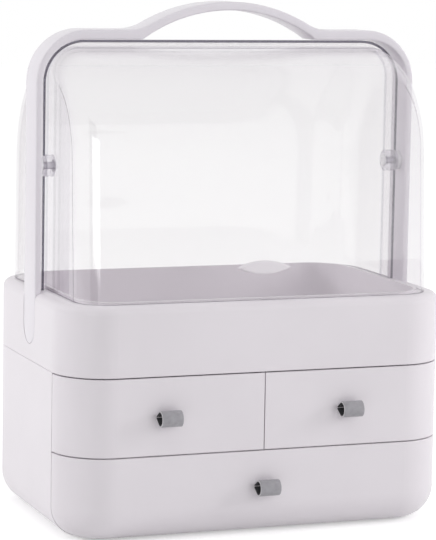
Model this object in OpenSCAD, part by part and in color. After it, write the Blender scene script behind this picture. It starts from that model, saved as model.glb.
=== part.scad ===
// Portable dustproof makeup organizer: a drawer cabinet with an open tray on
// top, a carrying handle and two clear covers that meet under it. The front
// cover swings up inside the rear one. Millimetres, +Z up, front towards -Y,
// origin on the table under the middle of the body.

/* [Body] */
// Width of the body, side to side
body_w = 280; // [240:1:340]
// Depth of the body, front to back, without the pull loops
body_d = 183; // [165:1:220]
// Radius of the upright corners of the body
corner_r = 35; // [25:1:42]
// Height of the seam between the lower and the upper drawers
low_seam_z = 59; // [50:1:70]
// Height of the seam between the upper drawers and the tray
top_seam_z = 112.7; // [105:0.1:125]
// Height of the flat rim that the covers close on
rim_z = 160.5; // [150:0.5:175]
// Rounding of the bottom edge
foot_edge_r = 22; // [8:0.5:24]
// Rounding of the shoulder round the rim
shoulder_r = 6; // [3:0.5:8]
// Wall of the cabinet, the tray skirt and the drawer fronts
wall = 2.6; // [2:0.1:3]
// Small rounding of the edges along a seam
seam_edge_r = 0.8; // [0.4:0.1:1.2]
// Open line left between two outer panels
seam_gap = 0.7; // [0.5:0.1:1.2]
// Height of the lower drawer's front over the table
front_lift = 0.5; // [0.3:0.1:1.5]

/* [Cabinet] */
// Thickness of the cabinet floor
floor_t = 2.6; // [2:0.1:4]
// Thickness of the shelf between the drawer rows
shelf_t = 2; // [1.5:0.1:3]
// Thickness of the partition between the upper drawers
divider_t = 2.4; // [1.6:0.1:4]
// Length of the drawer fronts' wrap along each side of the body
front_wrap = 33; // [28:0.5:42]

/* [Drawers] */
// Wall of a drawer box
box_wall = 2; // [1.5:0.1:2.5]
// Running gap between a drawer box and what guides it
run_gap = 0.5; // [0.3:0.1:0.8]
// Gap between a drawer box and what it slides on
slide_gap = 0.3; // [0.2:0.1:0.5]
// Room left over a drawer box
box_headroom = 4; // [2:0.5:8]
// Room left behind a drawer box
box_back_room = 11; // [6:0.5:20]
// Width of the pads that hold a front on its box
pad_w = 40; // [20:1:60]

/* [Pull loops] */
// Width of the folded strap of a pull
strap_w = 15; // [10:0.5:20]
// Thickness of the strap
strap_t = 1.4; // [1:0.1:2]
// Height of the loop at its outer face
loop_h = 11; // [8:0.5:14]
// How far the loop stands out of the drawer front
loop_out = 12.5; // [9:0.5:16]
// Rounding inside the loop's outer corners
loop_in_r = 4; // [0.5:0.1:6]
// Rounding inside the loop's root, where the strap's ends meet
root_in_r = 0.2; // [0.1:0.1:1]
// Place of the left pull across the front
left_pull_x = -70; // [-80:0.5:-55]
// Place of the right pull across the front
right_pull_x = 61; // [55:0.5:80]
// Place of the lower pull across the front
low_pull_x = 1; // [-10:0.5:10]
// Height of the upper pulls
up_pull_z = 85.5; // [80:0.5:92]
// Height of the lower pull
low_pull_z = 34.5; // [25:0.5:40]

/* [Tray] */
// Thickness of the tray floor
tray_floor_t = 2.5; // [2:0.1:4]
// Height of the tray floor's underside over the drawer seam
tray_drop = 2.8; // [1:0.1:6]
// Thickness of the tray's inner wall
tray_wall = 2.2; // [1.6:0.1:3]
// Height of the lip inside the covers' lower edge
lip_h = 1.5; // [1:0.1:2.5]
// Rounding of the tray's inner corners
tray_corner_r = 26; // [15:1:30]
// Rounding between the tray's inner walls and its floor
tray_edge_r = 4; // [2:0.5:8]
// Gap between the lip and the covers
lip_gap = 0.6; // [0.4:0.1:1]

/* [Covers] */
// Height of the hinge line of the covers
hinge_z = 246.4; // [235:0.1:255]
// Place of the hinge line, front to back
hinge_y = -4; // [-8:0.5:2]
// Gap between the rear cover's sides and the handle's arms
arm_gap = 3; // [2:0.1:5]
// Outer radius of the rear cover about the hinge line
rear_r = 86; // [84:0.1:86.1]
// Wall of both covers
cover_t = 1.8; // [1.4:0.1:2]
// Rounding where the rear cover turns from its side to its back or top
rear_edge_r = 29; // [24:0.5:32]
// Rounding where the front cover turns from its side to its front or top
front_edge_r = 21; // [16:0.5:24]
// Side gap between the nested covers
nest_gap = 3; // [1:0.1:4]
// Gap that the front cover's ears leave beside the rear cover
ear_gap = 0.3; // [0.2:0.1:0.6]
// Outer radius of the front cover's arched top
front_r = 75; // [70:0.5:78]
// Height of the front cover's top under the rear cover's top
front_top_drop = 4.2; // [3.5:0.1:6]
// Lean of the front cover's face
front_lean = 3.6; // [2:0.1:5]
// Lean of the rear cover's face
rear_lean = 1.5; // [0.5:0.1:2.5]
// Front edge of the rear cover, behind which it lies
rear_edge_y = -6.5; // [-9:0.5:-5]
// Rear edge of the front cover, inside the rear one
front_edge_y = 2; // [0:0.5:4]
// Gap between the covers and the rim
cover_rim_gap = 0.3; // [0.2:0.1:0.6]
// Radius of the round ears of both covers about the hinge line
ear_r = 7.5; // [6:0.5:9]
// Extra thickness of the front cover's ear, inwards
ear_boss = 1.4; // [0.8:0.1:2]

/* [Lift tab] */
// Width of the lens shaped lift tab
tab_w = 38; // [25:1:50]
// Height of the lift tab
tab_h = 9.2; // [7:0.2:12]
// How far the lift tab stands out of the front cover
tab_out = 5; // [3:0.5:8]
// Height of the lift tab over the rim
tab_rise = 17.5; // [12:0.5:40]

/* [Handle] */
// Depth of the handle's flat band, front to back
band_d = 26; // [20:0.5:32]
// Middle of the band, front to back
band_y = -3; // [-6:0.5:2]
// Thickness of the band over the covers
band_t = 6.8; // [5.5:0.1:8]
// Thickness of the arms
arm_t = 4.6; // [4:0.1:6]
// Inner rounding of the handle's shoulders
arch_r = 29.5; // [25:0.5:35]
// Gap between the covers and the handle
arch_gap = 0.5; // [0.3:0.1:1]
// Rise of the grip's top over the shoulders
grip_rise = 19.5; // [15:0.5:30]
// Radius of the grip's arch, outside
grip_r = 118; // [95:1:160]
// Thickness of the grip at its middle
grip_t = 6; // [5:0.1:8]
// Radius of the hollow curve between a shoulder and the grip
grip_blend_r = 34; // [20:1:45]
// Height of the arms' lower tips
arm_tip_z = 124; // [118:0.5:135]
// Gap round the arms in their grooves
groove_gap = 0.2; // [0.1:0.1:0.5]
// Wall behind a groove
groove_wall = 2; // [1.5:0.1:3]

/* [Pins and screws] */
// Radius of the hinge pins
pin_r = 2.5; // [2:0.1:3.5]
// Radial running clearance of the pins
pin_fit = 0.05; // [0.02:0.01:0.1]
// Radius of a pin's head
pin_head_r = 5.5; // [4:0.1:7]
// Thickness of a pin's head
pin_head_t = 1.8; // [1:0.1:3]
// Depth of a pin in the arm
pin_seat = 3.2; // [2:0.1:3.5]
// Side play of a pin's head
pin_play = 0.3; // [0.1:0.1:0.6]
// Radius of the handle screws
screw_r = 1.5; // [1.2:0.1:2]
// Radius of a handle screw's head
screw_head_r = 3.2; // [2.6:0.1:4]
// Thickness of a handle screw's head
screw_head_t = 1.8; // [1.2:0.1:2.4]
// Depth of a handle screw in the arm
screw_seat = 3.2; // [2:0.1:3.5]
// Height of the handle screws
screw_z = 142; // [138:0.5:148]
// Wall of the spacer tube round a handle screw
tube_wall = 2; // [1.2:0.1:3]

/* [Hidden] */
$fn = 96;
half_w = body_w / 2;
half_d = body_d / 2;
far = 2 * (body_w + body_d);
past = 1;
overlap = 0.01;
arc_steps = 20;
white_shell = [0.90, 0.88, 0.90];
clear_shell = [0.93, 0.94, 0.96, 0.35];
strap_grey = [0.63, 0.62, 0.66];

// Drawer fronts and what is behind them
wrap_y = front_wrap - half_d;
cabinet_front_y = wrap_y + seam_gap;
front_in_y = wall - half_d;
shelf_z = low_seam_z - shelf_t / 2;
tray_under_z = top_seam_z + tray_drop;
back_in_y = half_d - wall;

// Covers: the rear one fits between the arms, and the front one turns inside it
rear_half_w = half_w - arm_t - arm_gap;
front_half_w = rear_half_w - cover_t - nest_gap;
front_axis_z = hinge_z + rear_r - front_top_drop - front_r;
cover_low_z = rim_z + cover_rim_gap;
rear_reach_y = hinge_y + rear_r / cos(rear_lean)
    + (hinge_z - cover_low_z) * tan(rear_lean);
front_reach_y = hinge_y - front_r / cos(front_lean)
    - (front_axis_z - cover_low_z) * tan(front_lean);

// Tray: its lip stands just inside the covers
lip_half_w = front_half_w - cover_t - lip_gap;
lip_front_y = front_reach_y + cover_t + lip_gap;
lip_back_y = rear_reach_y - cover_t - lip_gap;
lip_d = lip_back_y - lip_front_y;
lip_mid_y = (lip_back_y + lip_front_y) / 2;
tray_half_w = lip_half_w - tray_wall;
tray_floor_z = tray_under_z + tray_floor_t;

// Handle: an arch over the covers with arms in grooves of the tray
arch_half_w = half_w - arm_t;
arch_z = hinge_z + rear_r + arch_gap;
shoulder_z = arch_z + band_t;
arch_out_r = arch_r + band_t;
tip_mid_z = arm_tip_z + band_d / 2;
groove_x = arch_half_w - groove_gap;
grip_top_z = shoulder_z + grip_rise;
grip_axis_z = grip_top_z - grip_r;
blend_axis_z = shoulder_z + grip_blend_r;
blend_axis_x = sqrt(pow(grip_r + grip_blend_r, 2) - pow(blend_axis_z - grip_axis_z, 2));
blend_turn = asin(blend_axis_x / (grip_r + grip_blend_r));

// Pins and screws
ear_end_x = rear_half_w - cover_t - ear_gap;
pin_head_x = front_half_w - cover_t - ear_boss - pin_play;
pin_end_x = arch_half_w + pin_seat;
screw_end_x = arch_half_w + screw_seat;

// Solid block with rounded upright corners and rounded top and bottom edges
module soft_block(w, d, z_low, z_high, r, low_r = 0, high_r = 0) {
    module side_profile(width) {
        translate([-width / 2 + low_r, z_low]) square([width - 2 * low_r, high_r + low_r + overlap]);
        translate([-width / 2, z_low + low_r]) square([width, z_high - z_low - low_r - high_r]);
        translate([-width / 2 + high_r, z_low + low_r])
            square([width - 2 * high_r, z_high - z_low - low_r]);
        for (s = [-1, 1]) {
            if (low_r > 0) translate([s * (width / 2 - low_r), z_low + low_r]) circle(low_r);
            if (high_r > 0) translate([s * (width / 2 - high_r), z_high - high_r]) circle(high_r);
        }
    }
    rotate([90, 0, 0]) linear_extrude(d - 2 * r, center = true) side_profile(w);
    rotate([90, 0, 90]) linear_extrude(w - 2 * r, center = true) side_profile(d);
    for (sx = [-1, 1], sy = [-1, 1])
        translate([sx * (w / 2 - r), sy * (d / 2 - r), 0])
            rotate_extrude()
                intersection() {
                    side_profile(2 * r);
                    translate([0, z_low]) square([r, z_high - z_low]);
                }
}

// The body's outline drawn in by some distance, as a block between two heights.
// Its bottom rounding is never wider than its corners.
module body_block(inset, z_low, z_high, low_r = 0, high_r = 0) {
    r = corner_r - inset;
    soft_block(body_w - 2 * inset, body_d - 2 * inset, z_low, z_high, r, min(low_r, r - overlap), high_r);
}

// Box between two corners
module span(low, high) {
    translate(low) cube(high - low);
}

module cabinet() {
    color(white_shell)
        difference() {
            intersection() {
                body_block(0, 0, top_seam_z, foot_edge_r, seam_edge_r);
                span([-half_w, cabinet_front_y, 0], [half_w, half_d, top_seam_z]);
            }
            body_block(wall, floor_t, top_seam_z + past, foot_edge_r - wall);
        }
    color(white_shell) cabinet_tongue();
}

// The floor runs on under the lower drawer, inside its front
module cabinet_tongue() {
    intersection() {
        body_block(foot_edge_r + run_gap, 0, floor_t);
        span([-half_w, -half_d, 0], [half_w, cabinet_front_y + past, floor_t]);
    }
}

module shelf() {
    color(white_shell) {
        intersection() {
            body_block(wall, shelf_z, shelf_z + shelf_t);
            span([-half_w, cabinet_front_y, 0], [half_w, half_d, rim_z]);
        }
        intersection() {
            body_block(wall + run_gap, shelf_z, shelf_z + shelf_t);
            span([-half_w, -half_d, 0], [half_w, cabinet_front_y + past, rim_z]);
        }
    }
}

module divider() {
    color(white_shell)
        span([-divider_t / 2, front_in_y + run_gap, shelf_z + shelf_t],
             [divider_t / 2, back_in_y, tray_under_z]);
}

// Tray: outer skirt, rim, inner walls and floor, hollow between skirt and walls
module tray() {
    color(white_shell)
        difference() {
            union() {
                difference() {
                    body_block(0, top_seam_z, rim_z, seam_edge_r, shoulder_r);
                    difference() {
                        body_block(wall, top_seam_z - past, rim_z - wall, 0, shoulder_r - wall);
                        tray_well(rim_z);
                        handle_pockets();
                        span([-far, -far, tray_under_z], [far, far, tray_floor_z]);
                    }
                }
                tray_well(rim_z + lip_h);
                body_block(wall / 2, tray_under_z, tray_floor_z);
            }
            translate([0, lip_mid_y, 0])
                soft_block(2 * tray_half_w, lip_d - 2 * tray_wall, tray_floor_z,
                           rim_z + lip_h + past, tray_corner_r, tray_edge_r);
            handle_grooves();
            for (s = [-1, 1]) screw_line(s, tray_half_w - past, groove_x + past) circle(screw_r + pin_fit);
        }
}

// Outside of the tray's inner walls, up to some height
module tray_well(top_z) {
    translate([0, lip_mid_y, 0])
        soft_block(2 * lip_half_w, lip_d, tray_under_z, top_z, tray_corner_r + tray_wall);
}

// Walls round the grooves that take the handle's arms, and the screws' spacers
module handle_pockets() {
    reach = band_d / 2 + groove_gap + groove_wall;
    for (s = [-1, 1]) {
        translate([s * (groove_x - groove_wall), band_y, 0])
            rotate([90, 0, 90 * s]) linear_extrude(half_w - groove_x + groove_wall) {
                translate([0, tip_mid_z]) circle(reach);
                translate([-reach, tip_mid_z]) square([2 * reach, rim_z - tip_mid_z]);
            }
        screw_line(s, tray_half_w, groove_x) circle(screw_r + tube_wall);
    }
}

module handle_grooves() {
    reach = band_d / 2 + groove_gap;
    for (s = [-1, 1])
        translate([s * groove_x, band_y, 0])
            rotate([90, 0, 90 * s]) linear_extrude(half_w) {
                translate([0, tip_mid_z]) circle(reach);
                translate([-reach, tip_mid_z]) square([2 * reach, far]);
            }
}

// A round bar across the wall on one side, at the height of the handle screws
module screw_line(side, x_low, x_high) {
    translate([side * x_low, band_y, screw_z])
        rotate([0, 90 * side, 0]) linear_extrude(x_high - x_low) children();
}

module handle_screws() {
    color("silver")
        for (s = [-1, 1]) {
            screw_line(s, tray_half_w - screw_head_t, tray_half_w) circle(screw_head_r);
            screw_line(s, tray_half_w - overlap, screw_end_x) circle(screw_r);
        }
}

// Points of an arc in equal steps, from one angle to the other
function arc(x, z, r, from, to, skip = 0) =
    [for (i = [skip:arc_steps]) let (a = from + (to - from) * i / arc_steps) [x + r * cos(a), z + r * sin(a)]];

// Outline of the handle: shoulders, hollow curves and the grip's arch
module handle_outline() {
    shoulder_x = half_w - arch_out_r;
    low_z = shoulder_z - arch_out_r;
    polygon(concat(
        [[half_w, 0]],
        arc(shoulder_x, low_z, arch_out_r, 0, 90),
        arc(blend_axis_x, blend_axis_z, grip_blend_r, 270, 270 - blend_turn),
        arc(0, grip_axis_z, grip_r, 90 - blend_turn, 90 + blend_turn, 1),
        arc(-blend_axis_x, blend_axis_z, grip_blend_r, 270 + blend_turn, 270, 1),
        arc(-shoulder_x, low_z, arch_out_r, 90, 180),
        [[-half_w, 0]]
    ));
}

// Room between the arms and over the covers
module arch_room() {
    translate([-arch_half_w, 0]) square([2 * arch_half_w, arch_z - arch_r]);
    translate([arch_r - arch_half_w, 0]) square([2 * (arch_half_w - arch_r), arch_z]);
    for (s = [-1, 1]) translate([s * (arch_half_w - arch_r), arch_z - arch_r]) circle(arch_r);
}

// Finger room under the grip
module grip_room() {
    intersection() {
        translate([0, grip_axis_z]) circle(grip_r - grip_t, $fn = 240);
        translate([-half_w, arch_z - past]) square([body_w, far]);
    }
}

module handle() {
    color(white_shell)
        difference() {
            intersection() {
                translate([0, band_y, 0])
                    rotate([90, 0, 0]) linear_extrude(band_d, center = true)
                        difference() {
                            handle_outline();
                            arch_room();
                            grip_room();
                        }
                arm_ends();
            }
            for (s = [-1, 1]) {
                pin_line(s, arch_half_w - past, pin_end_x + pin_play) circle(pin_r + pin_fit);
                screw_line(s, arch_half_w - past, screw_end_x + pin_play) circle(screw_r + pin_fit);
            }
        }
}

// Keeps the band above the arms' round tips
module arm_ends() {
    translate([0, band_y, 0]) {
        translate([0, 0, tip_mid_z]) rotate([0, 90, 0]) cylinder(d = band_d, h = 2 * body_w, center = true);
        translate([-body_w, -band_d / 2, tip_mid_z]) cube([2 * body_w, band_d, far]);
    }
}

// A round bar along the hinge line on one side
module pin_line(side, x_low, x_high) {
    translate([side * x_low, hinge_y, hinge_z])
        rotate([0, 90 * side, 0]) linear_extrude(x_high - x_low) children();
}

module hinge_pin(side) {
    color("gainsboro") {
        pin_line(side, pin_head_x - pin_head_t, pin_head_x) circle(pin_head_r);
        pin_line(side, pin_head_x - overlap, pin_end_x) circle(pin_r);
    }
}

// Solid form of a cover: a drum with rounded ends about its own axis, and a
// skirt that leaves it at a tangent and leans outwards down to the rim
module cover_form(w, r, edge, axis_z, lean, side) {
    translate([0, hinge_y, axis_z]) {
        rotate([0, 90, 0])
            rotate_extrude()
                intersection() {
                    cover_section(w, r, edge);
                    translate([0, -w]) square([r, 2 * w]);
                }
        rotate([side * lean, 0, 0])
            mirror([0, 0, 1]) linear_extrude(axis_z)
                rotate(90 * side) mirror([0, 1]) cover_section(w, r, edge);
    }
}

// Half section of a cover: outward along X, across the object along Y
module cover_section(w, r, edge) {
    translate([-band_d, -w + edge]) square([r + band_d, 2 * (w - edge)]);
    translate([-band_d, -w]) square([r - edge + band_d, 2 * w]);
    for (s = [-1, 1]) translate([r - edge, s * (w - edge)]) circle(edge);
}

// Wall of a cover, from the rim up
module cover_shell(w, r, edge, axis_z, lean, side) {
    difference() {
        cover_form(w, r, edge, axis_z, lean, side);
        cover_form(w - cover_t, r - cover_t, edge - cover_t, axis_z, lean, side);
        translate([-far / 2, -far / 2, cover_low_z - far]) cube(far);
    }
}

module rear_cover() {
    color(clear_shell)
        difference() {
            union() {
                intersection() {
                    cover_shell(rear_half_w, rear_r, rear_edge_r, hinge_z, rear_lean, 1);
                    translate([-far / 2, rear_edge_y, 0]) cube(far);
                }
                for (s = [-1, 1]) pin_line(s, rear_half_w - cover_t, rear_half_w) circle(ear_r);
            }
            for (s = [-1, 1]) pin_line(s, rear_half_w - cover_t - past, rear_half_w + past) circle(pin_r + pin_fit);
        }
}

module front_cover() {
    color(clear_shell)
        difference() {
            union() {
                intersection() {
                    cover_shell(front_half_w, front_r, front_edge_r, front_axis_z, front_lean, -1);
                    translate([-far / 2, front_edge_y - far, 0]) cube(far);
                }
                for (s = [-1, 1])
                    pin_line(s, front_half_w - cover_t - ear_boss, ear_end_x) circle(ear_r);
            }
            for (s = [-1, 1])
                pin_line(s, front_half_w - cover_t - ear_boss - past, ear_end_x + past) circle(pin_r + pin_fit);
        }
}

// Lens shaped grip on the front cover's leaning face
module lift_tab() {
    lens_r = (pow(tab_w / 2, 2) + pow(tab_h / 2, 2)) / tab_h;
    color(white_shell)
        translate([0, hinge_y, front_axis_z])
            rotate([-front_lean, 0, 0])
                translate([0, -front_r, -(front_axis_z - rim_z - tab_rise)])
                    rotate([90, 0, 0]) linear_extrude(tab_out)
                        intersection() {
                            translate([0, lens_r - tab_h / 2]) circle(lens_r, $fn = 200);
                            translate([0, tab_h / 2 - lens_r]) circle(lens_r, $fn = 200);
                        }
}

// A drawer front: a curved panel between two heights and two places across
module drawer_front(x_low, x_high, z_low, z_high, low_r) {
    color(white_shell)
        intersection() {
            difference() {
                body_block(0, z_low, z_high, low_r, seam_edge_r);
                body_block(wall, z_low + wall, z_high + past, max(low_r - wall, 0));
                body_block(max(low_r, wall), z_low - past, z_high);
            }
            span([x_low, -half_d, z_low], [x_high, wrap_y, z_high]);
        }
}

// An open box between two heights and two places across, with pads to its front
module drawer_box(x_low, x_high, z_low, z_high, low_r = 0) {
    gap = wall + run_gap;
    back_y = half_d - box_back_room;
    mid_x = (max(x_low, gap - half_w) + min(x_high, half_w - gap)) / 2;
    color(white_shell) {
        difference() {
            intersection() {
                body_block(gap, z_low, z_high, low_r);
                span([x_low, -half_d, z_low], [x_high, back_y, z_high]);
            }
            intersection() {
                body_block(gap + box_wall, z_low + box_wall, z_high + past, max(low_r - box_wall, 0));
                span([x_low + box_wall, -half_d, z_low + box_wall],
                     [x_high - box_wall, back_y - box_wall, z_high + past]);
            }
        }
        span([mid_x - pad_w / 2, front_in_y, z_low + low_r],
             [mid_x + pad_w / 2, front_in_y + run_gap, z_high]);
    }
}

// A strap folded into a loop, its two ends held together at the drawer front
module pull_loop(x, z) {
    corner = min(loop_in_r + strap_t, loop_h / 2);
    module loop_shape(thick) {
        hull() {
            circle(root_in_r + thick, $fn = 32);
            for (s = [-1, 1])
                translate([loop_out - corner, s * (loop_h / 2 - corner)])
                    circle(corner - strap_t + thick, $fn = 48);
        }
    }
    color(strap_grey)
        translate([x - strap_w / 2, -half_d, z])
            rotate([90, 0, 90])
                linear_extrude(strap_w)
                    intersection() {
                        mirror([1, 0]) difference() {
                            loop_shape(strap_t);
                            loop_shape(0);
                        }
                        translate([-far, -far / 2]) square(far);
                    }
}

module left_drawer_box() {
    drawer_box(-half_w, -divider_t / 2 - run_gap, shelf_z + shelf_t + slide_gap,
               tray_under_z - box_headroom);
}
module right_drawer_box() {
    drawer_box(divider_t / 2 + run_gap, half_w, shelf_z + shelf_t + slide_gap,
               tray_under_z - box_headroom);
}
module lower_drawer_box() {
    drawer_box(-half_w, half_w, floor_t + slide_gap, shelf_z - box_headroom, foot_edge_r);
}
module left_drawer_front() {
    drawer_front(-half_w, -seam_gap / 2, low_seam_z + seam_gap / 2, top_seam_z - seam_gap, seam_edge_r);
}
module right_drawer_front() {
    drawer_front(seam_gap / 2, half_w, low_seam_z + seam_gap / 2, top_seam_z - seam_gap, seam_edge_r);
}
module lower_drawer_front() {
    drawer_front(-half_w, half_w, front_lift, low_seam_z - seam_gap / 2, foot_edge_r);
}

cabinet();
shelf();
divider();
tray();
handle();
rear_cover();
front_cover();
lift_tab();
hinge_pin(-1);  // hinge_pin_left
hinge_pin(1);  // hinge_pin_right
handle_screws();
left_drawer_box();
left_drawer_front();
pull_loop(left_pull_x, up_pull_z);  // left_drawer_pull
right_drawer_box();
right_drawer_front();
pull_loop(right_pull_x, up_pull_z);  // right_drawer_pull
lower_drawer_box();
lower_drawer_front();
pull_loop(low_pull_x, low_pull_z);  // lower_drawer_pull
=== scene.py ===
"""Looks of the makeup organizer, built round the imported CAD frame. Metres, +Z up, front towards -Y."""
import math

import bmesh
import bpy
from mathutils import Matrix, Vector


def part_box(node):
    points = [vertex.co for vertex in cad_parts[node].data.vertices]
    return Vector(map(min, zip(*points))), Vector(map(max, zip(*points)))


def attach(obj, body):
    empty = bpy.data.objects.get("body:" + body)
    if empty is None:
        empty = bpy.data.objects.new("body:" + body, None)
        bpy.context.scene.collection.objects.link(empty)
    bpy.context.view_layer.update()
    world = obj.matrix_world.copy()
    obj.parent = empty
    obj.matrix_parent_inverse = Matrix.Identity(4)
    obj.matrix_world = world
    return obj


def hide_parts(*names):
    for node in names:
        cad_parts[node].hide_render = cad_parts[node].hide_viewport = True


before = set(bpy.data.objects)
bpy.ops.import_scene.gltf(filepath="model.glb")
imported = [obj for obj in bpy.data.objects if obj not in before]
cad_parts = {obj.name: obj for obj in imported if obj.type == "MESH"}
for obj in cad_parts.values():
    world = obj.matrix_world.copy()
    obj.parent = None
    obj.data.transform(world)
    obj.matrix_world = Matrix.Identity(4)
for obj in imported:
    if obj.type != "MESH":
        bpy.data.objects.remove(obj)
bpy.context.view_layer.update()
MM = 0.001

# Sizes that the CAD model has too, in millimetres
HALF_W = 140.0
HALF_D = 91.5
RIM_Z = 160.5
BAND_Y = -3.0
BAND_D = 26.0
BAND_T = 6.8
ARM_T = 4.6
ARM_TIP_Z = 124.0
ARM_IN_X = HALF_W - ARM_T
ARCH_R = 29.5
ARCH_Z = 332.9
SHOULDER_Z = ARCH_Z + BAND_T
GRIP_R = 118.0
GRIP_T = 6.0
GRIP_TOP_Z = SHOULDER_Z + 19.5
GRIP_BLEND_R = 34.0
HINGE_Y = -4.0
HINGE_Z = 246.4
EAR_R = 7.5
REAR_EDGE_Y = -6.5
FRONT_EDGE_Y = 2.0
FRONT_HALF_W = 127.6
FRONT_R = 75.0
FRONT_EDGE_R = 21.0
FRONT_AXIS_Z = 253.2
FRONT_LEAN = math.radians(3.6)
TAB_W = 38.0
TAB_H = 9.2
TAB_OUT = 5.0
TAB_RISE = 17.5
STRAP_W = 15.0
STRAP_T = 1.4
LOOP_OUT = 12.5
LOOP_H = 11.0
LOOP_IN_R = 4.0
ROOT_R = 0.2
PIN_R = 2.5
PIN_HEAD_T = 1.8

# Camera: its place in metres and its angles in radians, fitted to the edges seen in the photograph
CAM_POS = Vector((-0.61249, -1.59240, 0.39761))
CAM_YAW, CAM_PITCH, CAM_ROLL = 0.363, 0.1155, 0.0174
CAM_LENS, CAM_SENSOR = 162.39, 36.0
CAM_SHIFT = (0.01613, -0.0777)
CAM_FAR = 50


def link_to_scene(obj):
    """Puts obj into the scene's own collection."""
    bpy.context.scene.collection.objects.link(obj)


def make_camera():
    """The camera at the photograph's viewing angle: yaw to the right, pitch down, then roll."""
    forward = Vector((math.sin(CAM_YAW) * math.cos(CAM_PITCH),
                      math.cos(CAM_YAW) * math.cos(CAM_PITCH), -math.sin(CAM_PITCH)))
    level = Vector((math.cos(CAM_YAW), -math.sin(CAM_YAW), 0))
    upright = level.cross(forward)
    c, s = math.cos(CAM_ROLL), math.sin(CAM_ROLL)
    right, up = c * level + s * upright, c * upright - s * level
    data = bpy.data.cameras.new("camera")
    data.sensor_fit = "VERTICAL"
    data.sensor_height = CAM_SENSOR
    data.lens = CAM_LENS
    data.shift_x, data.shift_y = CAM_SHIFT
    data.clip_end = CAM_FAR
    camera = bpy.data.objects.new("camera", data)
    turn = Matrix((right, up, -forward)).transposed().to_4x4()
    camera.matrix_world = Matrix.Translation(CAM_POS) @ turn
    link_to_scene(camera)
    bpy.context.scene.camera = camera


make_camera()


# Materials
class Nodes:
    """The emptied node tree of a material or world, with short calls to add and link nodes."""

    def __init__(self, owner, output="ShaderNodeOutputMaterial"):
        owner.use_nodes = True
        self.tree = owner.node_tree
        self.tree.nodes.clear()
        self.out = self.add(output)
        self.coordinates = None

    def add(self, kind, values=None, **props):
        node = self.tree.nodes.new(kind)
        for key, value in props.items():
            setattr(node, key, value)
        for key, value in (values or {}).items():
            node.inputs[key].default_value = value
        return node

    def link(self, source, node, socket):
        """Links an output socket, or a node's first output, to an input socket of node."""
        if isinstance(source, bpy.types.Node):
            source = source.outputs[0]
        self.tree.links.new(source, node.inputs[socket])

    def on_surface(self, kind, values):
        """A texture that lies on the piece in its own coordinates."""
        texture = self.add(kind, values)
        self.link(self.place(), texture, "Vector")
        return texture

    def place(self):
        """The output that gives a point's place on the piece, from one node per tree."""
        if self.coordinates is None:
            self.coordinates = self.add("ShaderNodeTexCoord")
        return self.coordinates.outputs["Object"]

    def ramp(self, low, high, low_at, high_at):
        """A colour ramp from low to high between two values."""
        ramp = self.add("ShaderNodeValToRGB")
        first, last = ramp.color_ramp.elements
        first.position, last.position = low_at, high_at
        first.color, last.color = low, high
        return ramp


def shaded(color, factor):
    """color made darker or lighter by a factor, with its alpha."""
    return (*[min(1.0, c * factor) for c in color], 1.0)


def plastic(name, color, rough, coat=0.0):
    """Moulded plastic: fine grain in bump, with faint clouds in colour and roughness."""
    mat = bpy.data.materials.new(name)
    n = Nodes(mat)
    clouds = n.on_surface("ShaderNodeTexNoise", {"Scale": 14.0, "Detail": 3.0, "Roughness": 0.5})
    grain = n.on_surface("ShaderNodeTexNoise", {"Scale": 900.0, "Detail": 2.0, "Roughness": 0.6})
    tint = 0.015
    ramp = n.ramp(shaded(color, 1 - tint), shaded(color, 1 + tint), 0.35, 0.65)
    n.link(clouds, ramp, "Fac")
    rough_map = n.add("ShaderNodeMapRange", {"From Min": 0.3, "From Max": 0.7,
                                             "To Min": rough - 0.03, "To Max": rough + 0.04})
    n.link(grain, rough_map, "Value")
    bump = n.add("ShaderNodeBump", {"Strength": 0.02, "Distance": 0.0004})
    n.link(grain, bump, "Height")
    bsdf = n.add("ShaderNodeBsdfPrincipled", {"Coat Weight": coat, "Coat Roughness": 0.12})
    n.link(ramp, bsdf, "Base Color")
    n.link(rough_map, bsdf, "Roughness")
    n.link(bump, bsdf, "Normal")
    n.link(bsdf, n.out, "Surface")
    return mat


def clear(name, face_tint, edge_tint, rough=0.05, face_gloss=0.04, edge_gloss=0.8, crease_shaded=False):
    """Clear moulded plastic: see-through face on, greyer and glossier where it is seen edge on.
    With crease shade on, it also gets painted shade along the front cover's crease."""
    mat = bpy.data.materials.new(name)
    n = Nodes(mat)
    waves = n.on_surface("ShaderNodeTexNoise", {"Scale": 9.0, "Detail": 2.0})
    bump = n.add("ShaderNodeBump", {"Strength": 0.04, "Distance": 0.002})
    n.link(waves, bump, "Height")
    facing = n.add("ShaderNodeLayerWeight", {"Blend": 0.5}).outputs["Facing"]
    steep = n.add("ShaderNodeMath", {1: 2.0}, operation="POWER")
    n.link(facing, steep, 0)
    tint = n.add("ShaderNodeMix", {"A": (*face_tint, 1.0), "B": (*edge_tint, 1.0)}, data_type="RGBA")
    n.link(steep, tint, "Factor")
    color = tint.outputs["Result"]
    if crease_shaded:
        color = painted_crease_shade(n, color)
    through = n.add("ShaderNodeBsdfTransparent")
    n.link(color, through, "Color")
    shine = n.add("ShaderNodeBsdfPrincipled", {"Base Color": (0.96, 0.96, 0.97, 1.0),
                                               "Roughness": rough, "Metallic": 1.0})
    n.link(bump, shine, "Normal")
    grazing = n.add("ShaderNodeMath", {1: 5.0}, operation="POWER")
    n.link(facing, grazing, 0)
    gloss = n.add("ShaderNodeMapRange", {"To Min": face_gloss, "To Max": edge_gloss})
    n.link(grazing, gloss, "Value")
    mix = n.add("ShaderNodeMixShader")
    n.link(gloss, mix, "Fac")
    n.link(through, mix, 1)
    n.link(shine, mix, 2)
    n.link(mix, n.out, "Surface")
    return mat
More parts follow.
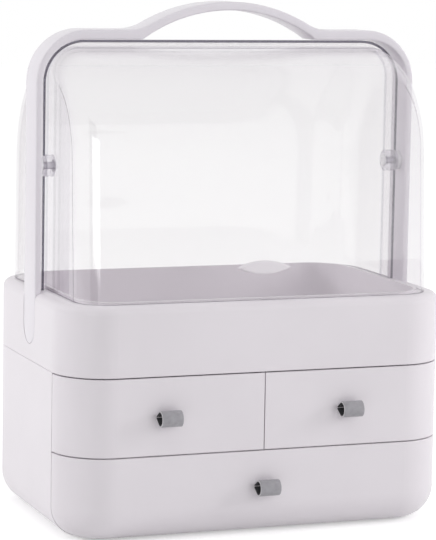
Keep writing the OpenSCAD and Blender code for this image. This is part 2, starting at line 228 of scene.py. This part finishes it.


# Painted shade: a dark line stands for the shade at the crease where the front cover's flat sides turn
# into its rounded front and top.
# It is dark to LINE_CORE on both sides of its middle, gone at LINE_EDGE, and fades in over LINE_FADE
# in front of the hinge. Only the outer faces of the sides, past LINE_X, have it.
LINE_R = FRONT_R - FRONT_EDGE_R
LINE_CORE, LINE_EDGE = 0.3, 0.9
LINE_FADE = (16.0, 34.0)
LINE_X = FRONT_HALF_W - 0.8
# Colour of the painted crease shade
CREASE_SHADE_TINT = (0.60, 0.57, 0.60)


def painted_crease_shade(n, color):
    """color, with painted shade along the front cover's crease."""
    place = n.add("ShaderNodeSeparateXYZ")
    n.link(n.place(), place, "Vector")

    def calc(operation, *terms):
        node = n.add("ShaderNodeMath", operation=operation)
        for i, term in enumerate(terms):
            if isinstance(term, float):
                node.inputs[i].default_value = term
            else:
                n.link(term, node, i)
        return node.outputs[0]

    def smooth_step(value, start, end, low, high):
        step = n.add("ShaderNodeMapRange", {"From Min": start * MM, "From Max": end * MM,
                                            "To Min": low, "To Max": high},
                     interpolation_type="SMOOTHSTEP")
        n.link(value, step, "Value")
        return step.outputs["Result"]

    forward = calc("SUBTRACT", HINGE_Y * MM, place.outputs["Y"])
    height = calc("SUBTRACT", place.outputs["Z"], FRONT_AXIS_Z * MM)
    squares = calc("ADD", calc("MULTIPLY", forward, forward), calc("MULTIPLY", height, height))
    on_drum = calc("SQRT", squares)
    on_skirt = calc("ADD", calc("MULTIPLY", forward, math.cos(FRONT_LEAN)),
                    calc("MULTIPLY", height, math.sin(FRONT_LEAN)))
    above = calc("GREATER_THAN", height, 0.0)
    reach = calc("ADD", calc("MULTIPLY", on_drum, above),
                 calc("MULTIPLY", on_skirt, calc("SUBTRACT", 1.0, above)))
    off_line = calc("ABSOLUTE", calc("SUBTRACT", reach, LINE_R * MM))
    near = smooth_step(off_line, LINE_CORE, LINE_EDGE, 1.0, 0.0)
    outside = calc("GREATER_THAN", calc("ABSOLUTE", place.outputs["X"]), LINE_X * MM)
    in_front = smooth_step(forward, *LINE_FADE, 0.0, 1.0)
    # Mixes the painted shade into the colour along the crease
    crease_shaded = n.add("ShaderNodeMix", {"B": (*CREASE_SHADE_TINT, 1.0)}, data_type="RGBA")
    n.link(calc("MULTIPLY", calc("MULTIPLY", near, outside), in_front), crease_shaded, "Factor")
    n.link(color, crease_shaded, "A")
    return crease_shaded.outputs["Result"]


def leatherette(name, color, rough):
    """Leatherette: small creased grain, with lighter worn places."""
    mat = bpy.data.materials.new(name)
    n = Nodes(mat)
    creases = n.on_surface("ShaderNodeTexVoronoi", {"Scale": 1400.0})
    wear = n.on_surface("ShaderNodeTexNoise", {"Scale": 320.0, "Detail": 4.0})
    ramp = n.ramp(shaded(color, 0.9), shaded(color, 1.12), 0.3, 0.75)
    n.link(wear, ramp, "Fac")
    bump = n.add("ShaderNodeBump", {"Strength": 0.25, "Distance": 0.0003})
    n.link(creases.outputs["Distance"], bump, "Height")
    bsdf = n.add("ShaderNodeBsdfPrincipled", {"Roughness": rough, "Sheen Weight": 0.1})
    n.link(ramp, bsdf, "Base Color")
    n.link(bump, bsdf, "Normal")
    n.link(bsdf, n.out, "Surface")
    return mat


def metal(name, color, rough):
    """Plated steel with a fine uneven polish."""
    mat = bpy.data.materials.new(name)
    n = Nodes(mat)
    fine = n.on_surface("ShaderNodeTexNoise", {"Scale": 1200.0, "Detail": 2.0})
    rough_map = n.add("ShaderNodeMapRange", {"To Min": rough - 0.08, "To Max": rough + 0.08})
    n.link(fine, rough_map, "Value")
    bump = n.add("ShaderNodeBump", {"Strength": 0.05, "Distance": 0.0002})
    n.link(fine, bump, "Height")
    bsdf = n.add("ShaderNodeBsdfPrincipled", {"Base Color": (*color, 1.0), "Metallic": 1.0})
    n.link(rough_map, bsdf, "Roughness")
    n.link(bump, bsdf, "Normal")
    n.link(bsdf, n.out, "Surface")
    return mat


shell = plastic("white_plastic", (0.775, 0.735, 0.775), 0.38, coat=0.15)
band_plastic = plastic("handle_plastic", (0.76, 0.725, 0.775), 0.34, coat=0.2)
box_plastic = plastic("drawer_plastic", (0.80, 0.79, 0.80), 0.42)
pin_plastic = plastic("pin_plastic", (0.80, 0.79, 0.81), 0.3)
steel = metal("screw_steel", (0.62, 0.62, 0.63), 0.3)
strap = leatherette("strap_grey", (0.34, 0.33, 0.355), 0.55)
# Painted shade: the near black inner faces of the loop stand for the shade in its hollow
loop_inner_shade = leatherette("strap_inner_shade", (0.035, 0.035, 0.04), 0.8)
cut_edge = leatherette("strap_cut_edge", (0.60, 0.59, 0.61), 0.6)
FACE_TINT = (0.967, 0.964, 0.966)
# Painted shade: a near black tint for the covers' seam, standing for the shade in the gap
SEAM_SHADE_TINT = (0.20, 0.19, 0.23)
clear_rear = clear("clear_rear", FACE_TINT, (0.87, 0.855, 0.865))
# The front cover's clear plastic carries the painted crease shade
clear_front = clear("clear_front", FACE_TINT, (0.955, 0.945, 0.96), crease_shaded=True)
# Painted shade: the cut and lower edges get dark and grey tints for the shade in the seams, and the ears
# a greyer one for the refraction in a solid boss
rear_seam_shade = clear("clear_rear_seam_shade", SEAM_SHADE_TINT, SEAM_SHADE_TINT, 0.2, 0.02, 0.3)
front_seam_shade = clear("clear_front_seam_shade", (0.80, 0.79, 0.82), (0.72, 0.70, 0.74), 0.2, 0.04, 0.5)
low_edge_shade = clear("clear_low_edge_shade", (0.50, 0.48, 0.51), (0.45, 0.43, 0.47), 0.2, 0.04, 0.4)
ear_refraction_shade = clear("clear_ear_refraction_shade", (0.93, 0.92, 0.94), (0.62, 0.60, 0.64), 0.12, 0.12, 0.6)


# Helpers for meshes
def new_object(name, mesh, materials, body, replaced):
    """A piece that rides on body and stands for the CAD node replaced."""
    obj = bpy.data.objects.new(name, mesh)
    link_to_scene(obj)
    for material in materials:
        mesh.materials.append(material)
    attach(obj, body)
    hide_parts(replaced)
    return obj


def bm_to_mesh(bm, name, smooth_angle):
    """Turns bm into a mesh, smooth but for edges sharper than smooth_angle degrees."""
    mesh = bpy.data.meshes.new(name)
    bm.to_mesh(mesh)
    bm.free()
    mesh.shade_smooth()
    mesh.set_sharp_from_angle(angle=math.radians(smooth_angle))
    return mesh


def loft(name, rings, smooth_angle):
    """Closed tube through rings of equal length, with flat caps at its ends. Points in millimetres."""
    bm = bmesh.new()
    loops = [[bm.verts.new(Vector(point) * MM) for point in ring] for ring in rings]
    count = len(rings[0])
    for a, b in zip(loops, loops[1:]):
        for i in range(count):
            j = (i + 1) % count
            bm.faces.new((a[i], a[j], b[j], b[i]))
    bm.faces.new(loops[0][::-1])
    bm.faces.new(loops[-1])
    bmesh.ops.recalc_face_normals(bm, faces=bm.faces)
    return bm_to_mesh(bm, name, smooth_angle)


def rounded_rect(half_a, half_b, r, steps):
    """Points of a rectangle with rounded corners, round (0, 0), each corner in so many steps."""
    pts = []
    for sa, sb, start in ((1, 1, 0), (-1, 1, 90), (-1, -1, 180), (1, -1, 270)):
        for i in range(steps + 1):
            turn = math.radians(start + 90.0 * i / steps)
            pts.append((sa * (half_a - r) + r * math.cos(turn), sb * (half_b - r) + r * math.sin(turn)))
    return pts


def on_arc(x, z, r, turn):
    """Point (x, z) of the arc round x, z, turned from straight up towards +X."""
    return x + r * math.sin(turn), z + r * math.cos(turn)


# Handle: stations follow the band from its right tip, up the arm and over the arch to the grip
TIP_DEGREES = (6, 14, 24, 36, 50, 66, 82, 90)
ARM_HEIGHTS = (145.0, 158.0, 165.0, 200.0, 240.0, 280.0)
FLAT_X = 88.0
ARCH_STEPS = 24
BLEND_STEPS = 12
GRIP_STEPS = 20
BAND_EDGE_R = 1.3
BAND_EDGE_STEPS = 5


def handle_stations():
    """(outer point, inner point, half depth) from the right arm's tip to the middle of the grip."""
    half = BAND_D / 2
    stations = []
    for degrees in TIP_DEGREES:
        turn = math.radians(degrees)
        z = ARM_TIP_Z + half - half * math.cos(turn)
        stations.append(((HALF_W, z), (ARM_IN_X, z), half * math.sin(turn)))
    arc_z = ARCH_Z - ARCH_R
    for z in (*ARM_HEIGHTS, arc_z - 1):
        stations.append(((HALF_W, z), (ARM_IN_X, z), half))
    out_r = ARCH_R + BAND_T
    for i in range(ARCH_STEPS + 1):
        turn = math.radians(90.0 - 90.0 * i / ARCH_STEPS)
        stations.append((on_arc(HALF_W - out_r, arc_z, out_r, turn),
                         on_arc(ARM_IN_X - ARCH_R, arc_z, ARCH_R, turn), half))
    stations.append(((FLAT_X, SHOULDER_Z), (FLAT_X, ARCH_Z), half))
    return stations + grip_stations(half)


def grip_stations(half):
    """Stations of the hollow curve from a shoulder to the grip, and of the grip's arch to its middle.
    The band's underside stays flat until it meets the grip's inner arch at the kink."""
    grip_z = GRIP_TOP_Z - GRIP_R
    blend_z = SHOULDER_Z + GRIP_BLEND_R
    blend_x = math.sqrt((GRIP_R + GRIP_BLEND_R) ** 2 - (blend_z - grip_z) ** 2)
    blend_turn = math.asin(blend_x / (GRIP_R + GRIP_BLEND_R))
    in_r = GRIP_R - GRIP_T
    kink_x = math.sqrt(in_r ** 2 - (ARCH_Z - grip_z) ** 2)
    kink_turn = math.asin(kink_x / in_r)
    stations = []
    for i in range(BLEND_STEPS + 1):
        outer = on_arc(blend_x, blend_z, -GRIP_BLEND_R, blend_turn * i / BLEND_STEPS)
        along = 2 * i / BLEND_STEPS
        if along <= 1:
            inner = (blend_x + (kink_x - blend_x) * along, ARCH_Z)
        else:
            inner = on_arc(0, grip_z, in_r, kink_turn + (blend_turn - kink_turn) * (along - 1))
        stations.append((outer, inner, half))
    for i in range(1, GRIP_STEPS + 1):
        turn = blend_turn * (1 - i / GRIP_STEPS)
        stations.append((on_arc(0, grip_z, GRIP_R, turn), on_arc(0, grip_z, in_r, turn), half))
    return stations


def make_handle():
    """The band in one piece: a rounded section at each station, whose rounding never fills it."""
    right = handle_stations()
    left = [((-o[0], o[1]), (-i[0], i[1]), half) for o, i, half in reversed(right[:-1])]
    rings = []
    for (out_x, out_z), (in_x, in_z), half in right + left:
        outer, inner = Vector((out_x, 0, out_z)), Vector((in_x, 0, in_z))
        middle, across = (outer + inner) / 2, outer - inner
        thick = across.length
        across.normalize()
        edge = min(BAND_EDGE_R, half * 0.8, thick / 2 - 0.1)
        rings.append([middle + across * a + Vector((0, BAND_Y + b, 0))
                      for a, b in rounded_rect(thick / 2, half, edge, BAND_EDGE_STEPS)])
    mesh = loft("handle_band", rings, 60)
    new_object("handle_band", mesh, [band_plastic], "case", "handle")


make_handle()


# Covers: copies of the CAD solids with a material for each kind of surface
EAR_MIN_X = 120.0
FACE_TOLERANCE = 0.02


def cover_copy(node, body, face_mat, edge_mat, edge_y):
    """A copy of a cover's solid, whose cut edge, lower edge and ears have materials of their own, tinted
    dark or grey as painted shade for the seams and for the refraction in the solid ears.
    """
    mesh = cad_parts[node].data.copy()
    mesh.name = node + "_clear"
    mesh.materials.clear()
    obj = new_object(mesh.name, mesh, [face_mat, edge_mat, low_edge_shade, ear_refraction_shade], body, node)
    low_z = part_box(node)[0].z
    tolerance = FACE_TOLERANCE * MM

    def on_ear(point):
        from_hinge = math.hypot(point.y - HINGE_Y * MM, point.z - HINGE_Z * MM)
        return abs(point.x) > EAR_MIN_X * MM and from_hinge < EAR_R * MM + tolerance

    for poly in mesh.polygons:
        points = [mesh.vertices[v].co for v in poly.vertices]
        if all(abs(p.y - edge_y * MM) < tolerance for p in points):
            poly.material_index = 1
        elif all(abs(p.z - low_z) < tolerance for p in points):
            poly.material_index = 2
        elif all(on_ear(p) for p in points):
            poly.material_index = 3
        else:
            poly.material_index = 0
    obj.visible_shadow = False


cover_copy("rear_cover", "case", clear_rear, rear_seam_shade, REAR_EDGE_Y)
cover_copy("front_cover", "lift_cover", clear_front, front_seam_shade, FRONT_EDGE_Y)


# Lift tab: a lens shaped plate on the front cover's leaning face, with a rounded outer edge
TAB_EDGE_R = 1.7
TAB_EDGE_STEPS = 6
TAB_ARC_STEPS = 24


def make_lift_tab():
    """The lens in layers, from its seat on the cover outwards."""
    lens_r = ((TAB_W / 2) ** 2 + (TAB_H / 2) ** 2) / TAB_H

    def lens(inset):
        """Outline of the tab, drawn in by inset."""
        r = lens_r - inset
        turn = math.acos((lens_r - TAB_H / 2) / r)
        pts = []
        for side in (1, -1):
            for i in range(TAB_ARC_STEPS):
                a = -turn + 2 * turn * i / TAB_ARC_STEPS
                pts.append((side * r * math.sin(a), side * (r * math.cos(a) - lens_r + TAB_H / 2)))
        return pts

    on_face = Matrix.Translation((0, -FRONT_R, -(FRONT_AXIS_Z - RIM_Z - TAB_RISE)))
    place = (Matrix.Translation((0, HINGE_Y, FRONT_AXIS_Z)) @ Matrix.Rotation(-FRONT_LEAN, 4, "X")
             @ on_face @ Matrix.Rotation(math.pi / 2, 4, "X"))
    layers = [(0.0, 0.0)]
    for i in range(TAB_EDGE_STEPS + 1):
        a = math.radians(90 * i / TAB_EDGE_STEPS)
        layers.append((TAB_EDGE_R * (1 - math.cos(a)), TAB_OUT - TAB_EDGE_R + TAB_EDGE_R * math.sin(a)))
    rings = [[place @ Vector((x, z, height)) for x, z in lens(inset)] for inset, height in layers]
    mesh = loft("lift_tab_soft", rings, 60)
    new_object("lift_tab_soft", mesh, [shell], "lift_cover", "lift_tab")


make_lift_tab()


# Pulls: a strap folded into a loop, whose section is a flat rectangle with rounded edges
ROOT_RUN = (0.0, 0.5, 1.2)
LOOP_BEND_STEPS = 16
STRAP_EDGE_R = 0.5
STRAP_EDGE_STEPS = 3

# Sides of the section, counted round it: 8 to 14 face inwards and are near black as painted shade for the
# hollow of the loop, and the others named are its cut edges
SHADED_INNER_SIDES = range(8, 15)
CUT_SIDES = (5, 6, 7, 15, 0, 1)


def pull_stations():
    """(centre of the bend, its inner radius, angle) along the loop, from its root over the top and
    back underneath. A centre is (outwards, upwards) from the middle of the root."""
    corner = LOOP_IN_R + STRAP_T
    bend_out, bend_up = LOOP_OUT - corner, LOOP_H / 2 - corner
    bend_from_root = math.hypot(bend_out, bend_up)
    tilt = math.atan2(bend_up, bend_out) + math.acos((ROOT_R - LOOP_IN_R) / bend_from_root)
    upper = []
    for run in ROOT_RUN:
        upper.append(((run * math.sin(tilt), -run * math.cos(tilt)), ROOT_R, tilt))
    for part in (0.25, 0.5, 0.75):
        upper.append(((bend_out * part, bend_up * part), ROOT_R + (LOOP_IN_R - ROOT_R) * part, tilt))
    for i in range(LOOP_BEND_STEPS + 1):
        upper.append(((bend_out, bend_up), LOOP_IN_R, tilt * (1 - i / LOOP_BEND_STEPS)))
    lower = [((out, -up), r, -angle) for (out, up), r, angle in reversed(upper)]
    return [*upper, ((bend_out, 0.0), LOOP_IN_R, 0.0), *lower]


def make_pull(side):
    """The strap loop that replaces a drawer's CAD pull, in its place."""
    node = side + "_drawer_pull"
    middle = (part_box(node)[0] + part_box(node)[1]) / 2 / MM
    rings = []
    for (out, up), r, angle in pull_stations():
        across = Vector((0, -math.cos(angle), math.sin(angle)))
        centre = Vector((middle.x, -HALF_D - out, middle.z + up)) + across * (r + STRAP_T / 2)
        rings.append([centre + across * b + Vector((a, 0, 0))
                      for a, b in rounded_rect(STRAP_W / 2, STRAP_T / 2, STRAP_EDGE_R, STRAP_EDGE_STEPS)])
    mesh = loft(side + "_pull_strap", rings, 50)
    sides = len(rings[0])
    for poly in mesh.polygons[:-2]:
        place = poly.index % sides
        poly.material_index = 1 if place in SHADED_INNER_SIDES else 2 if place in CUT_SIDES else 0
    new_object(side + "_pull_strap", mesh, [strap, loop_inner_shade, cut_edge], side + "_drawer", node)


for side in ("left", "right", "lower"):
    make_pull(side)


# Hinge pins: turned profiles of (distance from the middle of the body, radius)
PIN_HEAD_R = 4.4
COLLAR_R = 6.7
COLLAR_IN = ARM_IN_X - 2.7
COLLAR_OUT = ARM_IN_X - 0.1
PIN_END_BEVEL = 0.4
PIN_STEPS = 48


def pin_profile(head_in, end):
    """A low dished head, the shank, a ringed collar at the arm and the bevelled end."""
    head_out = head_in + PIN_HEAD_T
    head = [(head_in + 0.9, 0.0), (head_in + 0.9, 1.6), (head_in + 0.6, 2.0), (head_in + 0.6, 3.4),
            (head_in + 0.9, 4.1), (head_in + 1.3, PIN_HEAD_R), (head_out, PIN_HEAD_R), (head_out, PIN_R)]
    collar = [(COLLAR_IN, PIN_R), (COLLAR_IN, 3.5), (COLLAR_IN + 0.4, 3.9), (COLLAR_IN + 0.4, 4.6),
              (COLLAR_IN, 5.0), (COLLAR_IN, 6.0), (COLLAR_IN + 0.2, 6.5), (COLLAR_IN + 0.7, COLLAR_R),
              (COLLAR_OUT, COLLAR_R), (COLLAR_OUT, PIN_R)]
    tip = [(end - PIN_END_BEVEL, PIN_R), (end, PIN_R - PIN_END_BEVEL), (end, 0.0)]
    return head + collar + tip


def make_pin(side, node):
    """The pin on the left (-1) or right (1) side."""
    head_in, end = sorted(abs(corner.x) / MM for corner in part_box(node))
    bm = bmesh.new()
    verts = [bm.verts.new((side * x * MM, r * MM, 0)) for x, r in pin_profile(head_in, end)]
    edges = [bm.edges.new(pair) for pair in zip(verts, verts[1:])]
    bmesh.ops.spin(bm, geom=verts + edges, cent=(0, 0, 0), axis=(1, 0, 0), angle=2 * math.pi,
                   steps=PIN_STEPS, use_merge=True, use_duplicate=False)
    bmesh.ops.remove_doubles(bm, verts=bm.verts, dist=1e-6)
    bmesh.ops.recalc_face_normals(bm, faces=bm.faces)
    bm.transform(Matrix.Translation((0, HINGE_Y * MM, HINGE_Z * MM)))
    mesh = bm_to_mesh(bm, node + "_turned", 35)
    new_object(node + "_turned", mesh, [pin_plastic], "case", node)


make_pin(-1, "hinge_pin_left")
make_pin(1, "hinge_pin_right")


# CAD nodes that stay, and their materials
FINISH = {
    "cabinet": shell, "shelf": box_plastic, "divider": box_plastic, "tray": shell,
    "left_drawer_front": shell, "right_drawer_front": shell, "lower_drawer_front": shell,
    "left_drawer_box": box_plastic, "right_drawer_box": box_plastic,
    "lower_drawer_box": box_plastic, "handle_screws": steel,
}
for node, material in FINISH.items():
    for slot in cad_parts[node].material_slots:
        slot.link = "OBJECT"
        slot.material = material


# Stage: a white floor, a white world and a dark flag. The glow that makes floor and world white is only
# for what is seen of them, so it adds no light to the object.
FLOOR_HALF = 6.0
FLOOR_DROP = 0.0003
FLOOR_GLOW = {"From Min": 0.2, "From Max": 2.5, "To Min": 0.42, "To Max": 0.48}
FLAG_PLACE = Vector((-2.20, -1.60, 0.60))
FLAG_AIM = Vector((0, 0, 0.35))
FLAG_HALF = (0.7, 1.3)
WORLD_LIGHT = 0.62


def seen_rays(n):
    """The output that is 1 where a thing is seen straight, mirrored or through something clear, and 0
    where it only gives light."""
    path = n.add("ShaderNodeLightPath")
    seen = path.outputs["Is Camera Ray"]
    for kind in ("Is Glossy Ray", "Is Transmission Ray"):
        either = n.add("ShaderNodeMath", operation="MAXIMUM")
        n.link(seen, either, 0)
        n.link(path.outputs[kind], either, 1)
        seen = either.outputs[0]
    return seen


def stage_plane(name, half_size, material):
    """A square that belongs to the stage."""
    bm = bmesh.new()
    bmesh.ops.create_grid(bm, x_segments=1, y_segments=1, size=half_size)
    mesh = bpy.data.meshes.new(name)
    bm.to_mesh(mesh)
    bm.free()
    mesh.materials.append(material)
    obj = bpy.data.objects.new(name, mesh)
    link_to_scene(obj)
    return obj


def make_floor():
    """A pale floor just under the object, whose glow rises a little with the distance."""
    mat = bpy.data.materials.new("floor_white")
    n = Nodes(mat)
    diffuse = n.add("ShaderNodeBsdfDiffuse", {"Color": (0.86, 0.86, 0.86, 1.0)})
    glow = n.add("ShaderNodeEmission", {"Color": (1, 1, 1, 1)})
    distance = n.add("ShaderNodeVectorMath", operation="LENGTH")
    n.link(n.place(), distance, 0)
    lift = n.add("ShaderNodeMapRange", FLOOR_GLOW)
    n.link(distance.outputs["Value"], lift, "Value")
    strength = n.add("ShaderNodeMath", operation="MULTIPLY")
    n.link(seen_rays(n), strength, 0)
    n.link(lift, strength, 1)
    n.link(strength, glow, "Strength")
    both = n.add("ShaderNodeAddShader")
    n.link(diffuse, both, 0)
    n.link(glow, both, 1)
    n.link(both, n.out, "Surface")
    stage_plane("floor", FLOOR_HALF, mat).location.z = -FLOOR_DROP


def make_world():
    """Even soft light from all round, seen as pure white."""
    world = bpy.data.worlds.new("studio")
    bpy.context.scene.world = world
    n = Nodes(world, "ShaderNodeOutputWorld")
    soft = n.add("ShaderNodeBackground", {"Color": (1, 1, 1, 1), "Strength": WORLD_LIGHT})
    white = n.add("ShaderNodeBackground", {"Color": (1, 1, 1, 1), "Strength": 1.0})
    mix = n.add("ShaderNodeMixShader")
    n.link(seen_rays(n), mix, 0)
    n.link(soft, mix, 1)
    n.link(white, mix, 2)
    n.link(mix, n.out, "Surface")


def make_flag():
    """A dark studio flag at the left front, which only tones reflections and soft light."""
    mat = bpy.data.materials.new("flag_grey")
    n = Nodes(mat)
    diffuse = n.add("ShaderNodeBsdfDiffuse", {"Color": (0.10, 0.10, 0.10, 1.0)})
    n.link(diffuse, n.out, "Surface")
    flag = stage_plane("flag", 1.0, mat)
    flag.location = FLAG_PLACE
    flag.rotation_euler = (FLAG_AIM - FLAG_PLACE).to_track_quat("Z", "Y").to_euler()
    flag.scale = (*FLAG_HALF, 1.0)
    flag.visible_camera = False


def area_light(name, place, aim, size, power, reflected=False, lights=True):
    """A rectangular lamp at place that shines at aim. By default it lights but isn't mirrored."""
    data = bpy.data.lights.new(name, "AREA")
    data.shape = "RECTANGLE"
    data.size, data.size_y = size
    data.energy = power
    lamp = bpy.data.objects.new(name, data)
    lamp.location = place
    lamp.rotation_euler = (Vector(aim) - Vector(place)).to_track_quat("-Z", "Y").to_euler()
    lamp.visible_glossy = reflected
    lamp.visible_diffuse = lights
    link_to_scene(lamp)


make_floor()
make_world()
make_flag()
area_light("lamp_left", (-1.7, 0.45, 0.75), (0, 0, 0.15), (0.5, 0.5), 10.5)
area_light("lamp_right", (1.8, -0.7, 0.8), (0, 0, 0.15), (0.8, 0.8), 11)
area_light("lamp_top", (-0.2, -0.2, 1.9), (0, 0, 0.1), (1.6, 1.6), 3)
area_light("lamp_front", (0.5, -2.2, 0.9), (0, 0, 0.15), (1.2, 1.0), 7.0)

# The softbox is there for the highlight on the covers only
area_light("softbox", (-1.40, -1.50, 0.52), (-0.1, -0.08, 0.25), (0.95, 0.8), 7.5,
           reflected=True, lights=False)

scene = bpy.context.scene
scene.view_settings.view_transform = "Standard"
scene.cycles.transparent_max_bounces = 32
